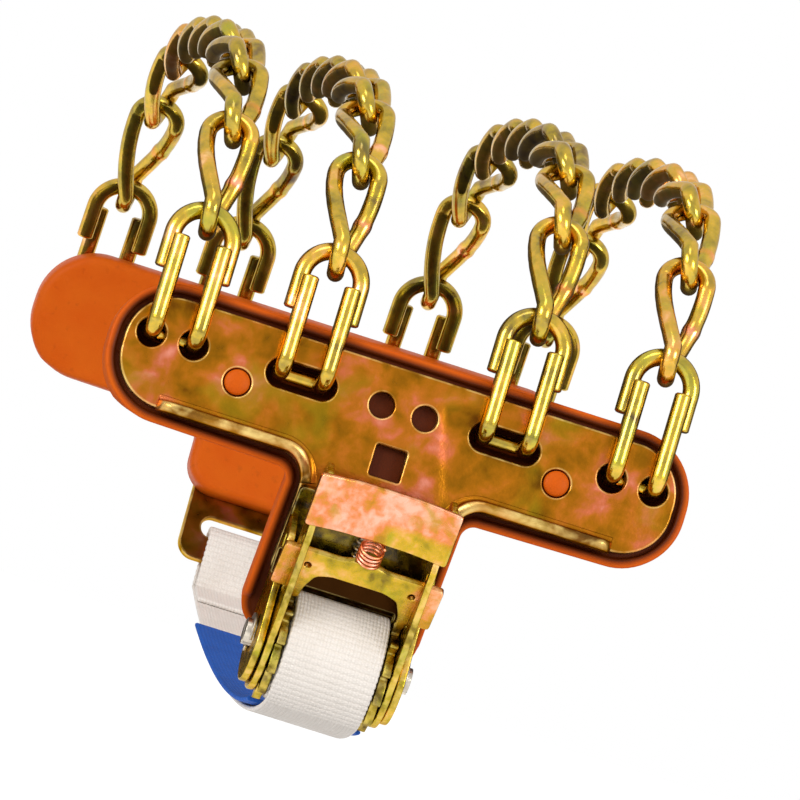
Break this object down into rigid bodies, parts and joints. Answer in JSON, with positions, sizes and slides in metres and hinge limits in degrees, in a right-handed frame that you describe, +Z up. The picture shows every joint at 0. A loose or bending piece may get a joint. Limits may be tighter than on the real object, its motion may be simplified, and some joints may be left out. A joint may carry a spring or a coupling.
{
  "type": "tire snow chain unit",
  "caption": "Strap-on tire snow chain unit: twisted-link chains between two pressed T-plates with soft pads, pulled tight by a folding strap ratchet.",
  "frame": {"origin": "middle of the tire's tread crown, where the chains lie over it", "axes": "+X along the tread, +Y along the wheel axis toward the inner side of the wheel, +Z up, out of the tread"},
  "size_m": [0.1552, 0.2799, 0.1695],
  "materials": {
    "zinc_plate": "satin yellow zinc",
    "zinc_wire": "bright yellow zinc",
    "zinc_ratchet": "satin yellow zinc",
    "bright_steel": "bright steel",
    "orange_pad": "satin",
    "white_webbing": "woven",
    "blue_webbing": "woven"
  },
  "bodies": {
    "outer_base": {"outer_plate": "zinc_plate", "outer_pad": "orange_pad", "ratchet_frame": "zinc_ratchet", "lock_pawl_spring": "bright_steel"},
    "handle": {"ratchet_handle": "zinc_ratchet", "drive_pawl_spring": "bright_steel"},
    "spool": {"spool": "bright_steel", "ratchet_wheel_left": "zinc_ratchet", "ratchet_wheel_right": "zinc_ratchet", "strap_roll": "white_webbing"},
    "drive_pawl": {"drive_pawl": "zinc_ratchet"},
    "lock_pawl": {"lock_pawl": "zinc_ratchet"},
    "inner_plate": {"inner_plate": "zinc_plate", "inner_pad": "orange_pad", "strap_run": "white_webbing", "strap_sleeve": "blue_webbing"},
    "outer_shackle_b": {"outer_shackle_b": "zinc_wire"},
    "link_b1": {"link_b1": "zinc_wire"},
    "link_b2": {"link_b2": "zinc_wire"},
    "link_b3": {"link_b3": "zinc_wire"},
    "link_b4": {"link_b4": "zinc_wire"},
    "link_b5": {"link_b5": "zinc_wire"},
    "link_b6": {"link_b6": "zinc_wire"},
    "link_b7": {"link_b7": "zinc_wire"},
    "link_b8": {"link_b8": "zinc_wire"},
    "link_b9": {"link_b9": "zinc_wire"},
    "inner_shackle_b": {"inner_shackle_b": "zinc_wire"},
    "outer_shackle_a": {"outer_shackle_a": "zinc_wire"},
    "link_a1": {"link_a1": "zinc_wire"},
    "link_a2": {"link_a2": "zinc_wire"},
    "link_a3": {"link_a3": "zinc_wire"},
    "link_a4": {"link_a4": "zinc_wire"},
    "link_a5": {"link_a5": "zinc_wire"},
    "link_a6": {"link_a6": "zinc_wire"},
    "link_a7": {"link_a7": "zinc_wire"},
    "link_a8": {"link_a8": "zinc_wire"},
    "link_a9": {"link_a9": "zinc_wire"},
    "inner_shackle_a": {"inner_shackle_a": "zinc_wire"},
    "outer_shackle_c": {"outer_shackle_c": "zinc_wire"},
    "link_c1": {"link_c1": "zinc_wire"},
    "link_c2": {"link_c2": "zinc_wire"},
    "link_c3": {"link_c3": "zinc_wire"},
    "link_c4": {"link_c4": "zinc_wire"},
    "link_c5": {"link_c5": "zinc_wire"},
    "link_c6": {"link_c6": "zinc_wire"},
    "link_c7": {"link_c7": "zinc_wire"},
    "link_c8": {"link_c8": "zinc_wire"},
    "link_c9": {"link_c9": "zinc_wire"},
    "inner_shackle_c": {"inner_shackle_c": "zinc_wire"},
    "outer_shackle_d": {"outer_shackle_d": "zinc_wire"},
    "link_d1": {"link_d1": "zinc_wire"},
    "link_d2": {"link_d2": "zinc_wire"},
    "link_d3": {"link_d3": "zinc_wire"},
    "link_d4": {"link_d4": "zinc_wire"},
    "link_d5": {"link_d5": "zinc_wire"},
    "link_d6": {"link_d6": "zinc_wire"},
    "link_d7": {"link_d7": "zinc_wire"},
    "link_d8": {"link_d8": "zinc_wire"},
    "link_d9": {"link_d9": "zinc_wire"},
    "inner_shackle_d": {"inner_shackle_d": "zinc_wire"}
  },
  "joints": [
    {"name": "outer_shackle_b_swing", "type": "hinge", "parent": "outer_base", "child": "outer_shackle_b", "pos_m": [-0.0274, -0.11364, -0.0707], "axis": [1, 0, 0], "range_deg": [0, 15], "deforming": ["strap_run", "strap_sleeve"]},
    {"name": "link_b1_swing", "type": "hinge", "parent": "outer_shackle_b", "child": "link_b1", "pos_m": [-0.0274, -0.11408, -0.03681], "axis": [1, 0, 0], "range_deg": [0, 27], "deforming": ["strap_run", "strap_sleeve"]},
    {"name": "link_b2_swing", "type": "hinge", "parent": "link_b1", "child": "link_b2", "pos_m": [-0.0274, -0.0971, -0.01256], "axis": [1, 0, 0], "range_deg": [0, 27], "deforming": ["strap_run", "strap_sleeve"]},
    {"name": "link_b3_swing", "type": "hinge", "parent": "link_b2", "child": "link_b3", "pos_m": [-0.0274, -0.07097, 0.00134], "axis": [1, 0, 0], "range_deg": [0, 19], "deforming": ["strap_run", "strap_sleeve"]},
    {"name": "link_b4_swing", "type": "hinge", "parent": "link_b3", "child": "link_b4", "pos_m": [-0.0274, -0.04173, 0.00597], "axis": [1, 0, 0], "range_deg": [0, 7], "deforming": ["strap_run", "strap_sleeve"]},
    {"name": "link_b5_swing", "type": "hinge", "parent": "link_b4", "child": "link_b5", "pos_m": [-0.0274, -0.01215, 0.007], "axis": [1, 0, 0], "range_deg": [0, 3], "deforming": ["strap_run", "strap_sleeve"]},
    {"name": "link_b6_swing", "type": "hinge", "parent": "link_b5", "child": "link_b6", "pos_m": [-0.0274, 0.01215, 0.007], "axis": [1, 0, 0], "range_deg": [0, 3], "deforming": ["strap_run", "strap_sleeve"]},
    {"name": "link_b7_swing", "type": "hinge", "parent": "link_b6", "child": "link_b7", "pos_m": [-0.0274, 0.04173, 0.00597], "axis": [1, 0, 0], "range_deg": [0, 7], "deforming": ["strap_run", "strap_sleeve"]},
    {"name": "link_b8_swing", "type": "hinge", "parent": "link_b7", "child": "link_b8", "pos_m": [-0.0274, 0.07097, 0.00134], "axis": [1, 0, 0], "range_deg": [0, 19], "deforming": ["strap_run", "strap_sleeve"]},
    {"name": "link_b9_swing", "type": "hinge", "parent": "link_b8", "child": "link_b9", "pos_m": [-0.0274, 0.0971, -0.01256], "axis": [1, 0, 0], "range_deg": [0, 27], "deforming": ["strap_run", "strap_sleeve"]},
    {"name": "inner_shackle_b_swing", "type": "hinge", "parent": "link_b9", "child": "inner_shackle_b", "pos_m": [-0.0274, 0.11408, -0.03681], "axis": [1, 0, 0], "range_deg": [0, 27], "deforming": ["strap_run", "strap_sleeve"]},
    {"name": "inner_plate_swing", "type": "hinge", "parent": "inner_shackle_b", "child": "inner_plate", "pos_m": [-0.0274, 0.11364, -0.0707], "axis": [1, 0, 0], "range_deg": [0, 15], "deforming": ["strap_run", "strap_sleeve"]},
    {"name": "outer_shackle_a_swing", "type": "hinge", "parent": "outer_base", "child": "outer_shackle_a", "pos_m": [-0.062, -0.11364, -0.0707], "axis": [1, 0, 0], "range_deg": [0, 15]},
    {"name": "link_a1_swing", "type": "hinge", "parent": "outer_shackle_a", "child": "link_a1", "pos_m": [-0.062, -0.11408, -0.03681], "axis": [1, 0, 0], "range_deg": [0, 27]},
    {"name": "link_a2_swing", "type": "hinge", "parent": "link_a1", "child": "link_a2", "pos_m": [-0.062, -0.0971, -0.01256], "axis": [1, 0, 0], "range_deg": [0, 27]},
    {"name": "link_a3_swing", "type": "hinge", "parent": "link_a2", "child": "link_a3", "pos_m": [-0.062, -0.07097, 0.00134], "axis": [1, 0, 0], "range_deg": [0, 19]},
    {"name": "link_a4_swing", "type": "hinge", "parent": "link_a3", "child": "link_a4", "pos_m": [-0.062, -0.04173, 0.00597], "axis": [1, 0, 0], "range_deg": [0, 7]},
    {"name": "link_a5_swing", "type": "hinge", "parent": "link_a4", "child": "link_a5", "pos_m": [-0.062, -0.01215, 0.007], "axis": [1, 0, 0], "range_deg": [0, 3]},
    {"name": "link_a6_swing", "type": "hinge", "parent": "link_a5", "child": "link_a6", "pos_m": [-0.062, 0.01215, 0.007], "axis": [1, 0, 0], "range_deg": [0, 3]},
    {"name": "link_a7_swing", "type": "hinge", "parent": "link_a6", "child": "link_a7", "pos_m": [-0.062, 0.04173, 0.00597], "axis": [1, 0, 0], "range_deg": [0, 7]},
    {"name": "link_a8_swing", "type": "hinge", "parent": "link_a7", "child": "link_a8", "pos_m": [-0.062, 0.07097, 0.00134], "axis": [1, 0, 0], "range_deg": [0, 19]},
    {"name": "link_a9_swing", "type": "hinge", "parent": "link_a8", "child": "link_a9", "pos_m": [-0.062, 0.0971, -0.01256], "axis": [1, 0, 0], "range_deg": [0, 27]},
    {"name": "inner_shackle_a_swing", "type": "hinge", "parent": "link_a9", "child": "inner_shackle_a", "pos_m": [-0.062, 0.11408, -0.03681], "axis": [1, 0, 0], "range_deg": [0, 27]},
    {"name": "outer_shackle_c_swing", "type": "hinge", "parent": "outer_base", "child": "outer_shackle_c", "pos_m": [0.0274, -0.11364, -0.0707], "axis": [1, 0, 0], "range_deg": [0, 15]},
    {"name": "link_c1_swing", "type": "hinge", "parent": "outer_shackle_c", "child": "link_c1", "pos_m": [0.0274, -0.11408, -0.03681], "axis": [1, 0, 0], "range_deg": [0, 27]},
    {"name": "link_c2_swing", "type": "hinge", "parent": "link_c1", "child": "link_c2", "pos_m": [0.0274, -0.0971, -0.01256], "axis": [1, 0, 0], "range_deg": [0, 27]},
    {"name": "link_c3_swing", "type": "hinge", "parent": "link_c2", "child": "link_c3", "pos_m": [0.0274, -0.07097, 0.00134], "axis": [1, 0, 0], "range_deg": [0, 19]},
    {"name": "link_c4_swing", "type": "hinge", "parent": "link_c3", "child": "link_c4", "pos_m": [0.0274, -0.04173, 0.00597], "axis": [1, 0, 0], "range_deg": [0, 7]},
    {"name": "link_c5_swing", "type": "hinge", "parent": "link_c4", "child": "link_c5", "pos_m": [0.0274, -0.01215, 0.007], "axis": [1, 0, 0], "range_deg": [0, 3]},
    {"name": "link_c6_swing", "type": "hinge", "parent": "link_c5", "child": "link_c6", "pos_m": [0.0274, 0.01215, 0.007], "axis": [1, 0, 0], "range_deg": [0, 3]},
    {"name": "link_c7_swing", "type": "hinge", "parent": "link_c6", "child": "link_c7", "pos_m": [0.0274, 0.04173, 0.00597], "axis": [1, 0, 0], "range_deg": [0, 7]},
    {"name": "link_c8_swing", "type": "hinge", "parent": "link_c7", "child": "link_c8", "pos_m": [0.0274, 0.07097, 0.00134], "axis": [1, 0, 0], "range_deg": [0, 19]},
    {"name": "link_c9_swing", "type": "hinge", "parent": "link_c8", "child": "link_c9", "pos_m": [0.0274, 0.0971, -0.01256], "axis": [1, 0, 0], "range_deg": [0, 27]},
    {"name": "inner_shackle_c_swing", "type": "hinge", "parent": "link_c9", "child": "inner_shackle_c", "pos_m": [0.0274, 0.11408, -0.03681], "axis": [1, 0, 0], "range_deg": [0, 27]},
    {"name": "outer_shackle_d_swing", "type": "hinge", "parent": "outer_base", "child": "outer_shackle_d", "pos_m": [0.062, -0.11364, -0.0707], "axis": [1, 0, 0], "range_deg": [0, 15]},
    {"name": "link_d1_swing", "type": "hinge", "parent": "outer_shackle_d", "child": "link_d1", "pos_m": [0.062, -0.11408, -0.03681], "axis": [1, 0, 0], "range_deg": [0, 27]},
    {"name": "link_d2_swing", "type": "hinge", "parent": "link_d1", "child": "link_d2", "pos_m": [0.062, -0.0971, -0.01256], "axis": [1, 0, 0], "range_deg": [0, 27]},
    {"name": "link_d3_swing", "type": "hinge", "parent": "link_d2", "child": "link_d3", "pos_m": [0.062, -0.07097, 0.00134], "axis": [1, 0, 0], "range_deg": [0, 19]},
    {"name": "link_d4_swing", "type": "hinge", "parent": "link_d3", "child": "link_d4", "pos_m": [0.062, -0.04173, 0.00597], "axis": [1, 0, 0], "range_deg": [0, 7]},
    {"name": "link_d5_swing", "type": "hinge", "parent": "link_d4", "child": "link_d5", "pos_m": [0.062, -0.01215, 0.007], "axis": [1, 0, 0], "range_deg": [0, 3]},
    {"name": "link_d6_swing", "type": "hinge", "parent": "link_d5", "child": "link_d6", "pos_m": [0.062, 0.01215, 0.007], "axis": [1, 0, 0], "range_deg": [0, 3]},
    {"name": "link_d7_swing", "type": "hinge", "parent": "link_d6", "child": "link_d7", "pos_m": [0.062, 0.04173, 0.00597], "axis": [1, 0, 0], "range_deg": [0, 7]},
    {"name": "link_d8_swing", "type": "hinge", "parent": "link_d7", "child": "link_d8", "pos_m": [0.062, 0.07097, 0.00134], "axis": [1, 0, 0], "range_deg": [0, 19]},
    {"name": "link_d9_swing", "type": "hinge", "parent": "link_d8", "child": "link_d9", "pos_m": [0.062, 0.0971, -0.01256], "axis": [1, 0, 0], "range_deg": [0, 27]},
    {"name": "inner_shackle_d_swing", "type": "hinge", "parent": "link_d9", "child": "inner_shackle_d", "pos_m": [0.062, 0.11408, -0.03681], "axis": [1, 0, 0], "range_deg": [0, 27]},
    {"name": "handle_fold", "type": "hinge", "parent": "outer_base", "child": "handle", "pos_m": [0, -0.12166, -0.13562], "axis": [1, 0, 0], "range_deg": [0, 130]},
    {"name": "spool_turn", "type": "hinge", "parent": "outer_base", "child": "spool", "pos_m": [0, -0.12166, -0.13562], "axis": [-1, 0, 0], "range_deg": [0, 24]},
    {"name": "lock_pawl_slide", "type": "slide", "parent": "outer_base", "child": "lock_pawl", "axis": [0, -0.1392, 0.9903], "range_m": [0, 0.0032], "deforming": ["lock_pawl_spring"]},
    {"name": "drive_pawl_slide", "type": "slide", "parent": "handle", "child": "drive_pawl", "axis": [0, -0.6018, 0.7986], "range_m": [-0.0018, 0.003], "stiffness_N_per_m": 200, "springref_m": -0.0018, "deforming": ["drive_pawl_spring"]}
  ],
  "couplings": [
    {"joint": "outer_shackle_a_swing", "follows": "outer_shackle_b_swing", "ratio": 1},
    {"joint": "link_a1_swing", "follows": "link_b1_swing", "ratio": 1},
    {"joint": "link_a2_swing", "follows": "link_b2_swing", "ratio": 1},
    {"joint": "link_a3_swing", "follows": "link_b3_swing", "ratio": 1},
    {"joint": "link_a4_swing", "follows": "link_b4_swing", "ratio": 1},
    {"joint": "link_a5_swing", "follows": "link_b5_swing", "ratio": 1},
    {"joint": "link_a6_swing", "follows": "link_b6_swing", "ratio": 1},
    {"joint": "link_a7_swing", "follows": "link_b7_swing", "ratio": 1},
    {"joint": "link_a8_swing", "follows": "link_b8_swing", "ratio": 1},
    {"joint": "link_a9_swing", "follows": "link_b9_swing", "ratio": 1},
    {"joint": "inner_shackle_a_swing", "follows": "inner_shackle_b_swing", "ratio": 1},
    {"joint": "outer_shackle_c_swing", "follows": "outer_shackle_b_swing", "ratio": 1},
    {"joint": "link_c1_swing", "follows": "link_b1_swing", "ratio": 1},
    {"joint": "link_c2_swing", "follows": "link_b2_swing", "ratio": 1},
    {"joint": "link_c3_swing", "follows": "link_b3_swing", "ratio": 1},
    {"joint": "link_c4_swing", "follows": "link_b4_swing", "ratio": 1},
    {"joint": "link_c5_swing", "follows": "link_b5_swing", "ratio": 1},
    {"joint": "link_c6_swing", "follows": "link_b6_swing", "ratio": 1},
    {"joint": "link_c7_swing", "follows": "link_b7_swing", "ratio": 1},
    {"joint": "link_c8_swing", "follows": "link_b8_swing", "ratio": 1},
    {"joint": "link_c9_swing", "follows": "link_b9_swing", "ratio": 1},
    {"joint": "inner_shackle_c_swing", "follows": "inner_shackle_b_swing", "ratio": 1},
    {"joint": "outer_shackle_d_swing", "follows": "outer_shackle_b_swing", "ratio": 1},
    {"joint": "link_d1_swing", "follows": "link_b1_swing", "ratio": 1},
    {"joint": "link_d2_swing", "follows": "link_b2_swing", "ratio": 1},
    {"joint": "link_d3_swing", "follows": "link_b3_swing", "ratio": 1},
    {"joint": "link_d4_swing", "follows": "link_b4_swing", "ratio": 1},
    {"joint": "link_d5_swing", "follows": "link_b5_swing", "ratio": 1},
    {"joint": "link_d6_swing", "follows": "link_b6_swing", "ratio": 1},
    {"joint": "link_d7_swing", "follows": "link_b7_swing", "ratio": 1},
    {"joint": "link_d8_swing", "follows": "link_b8_swing", "ratio": 1},
    {"joint": "link_d9_swing", "follows": "link_b9_swing", "ratio": 1},
    {"joint": "inner_shackle_d_swing", "follows": "inner_shackle_b_swing", "ratio": 1},
    {"joint": "lock_pawl_slide", "follows": "spool_turn", "m_per_rad": 0.0075}
  ]
}
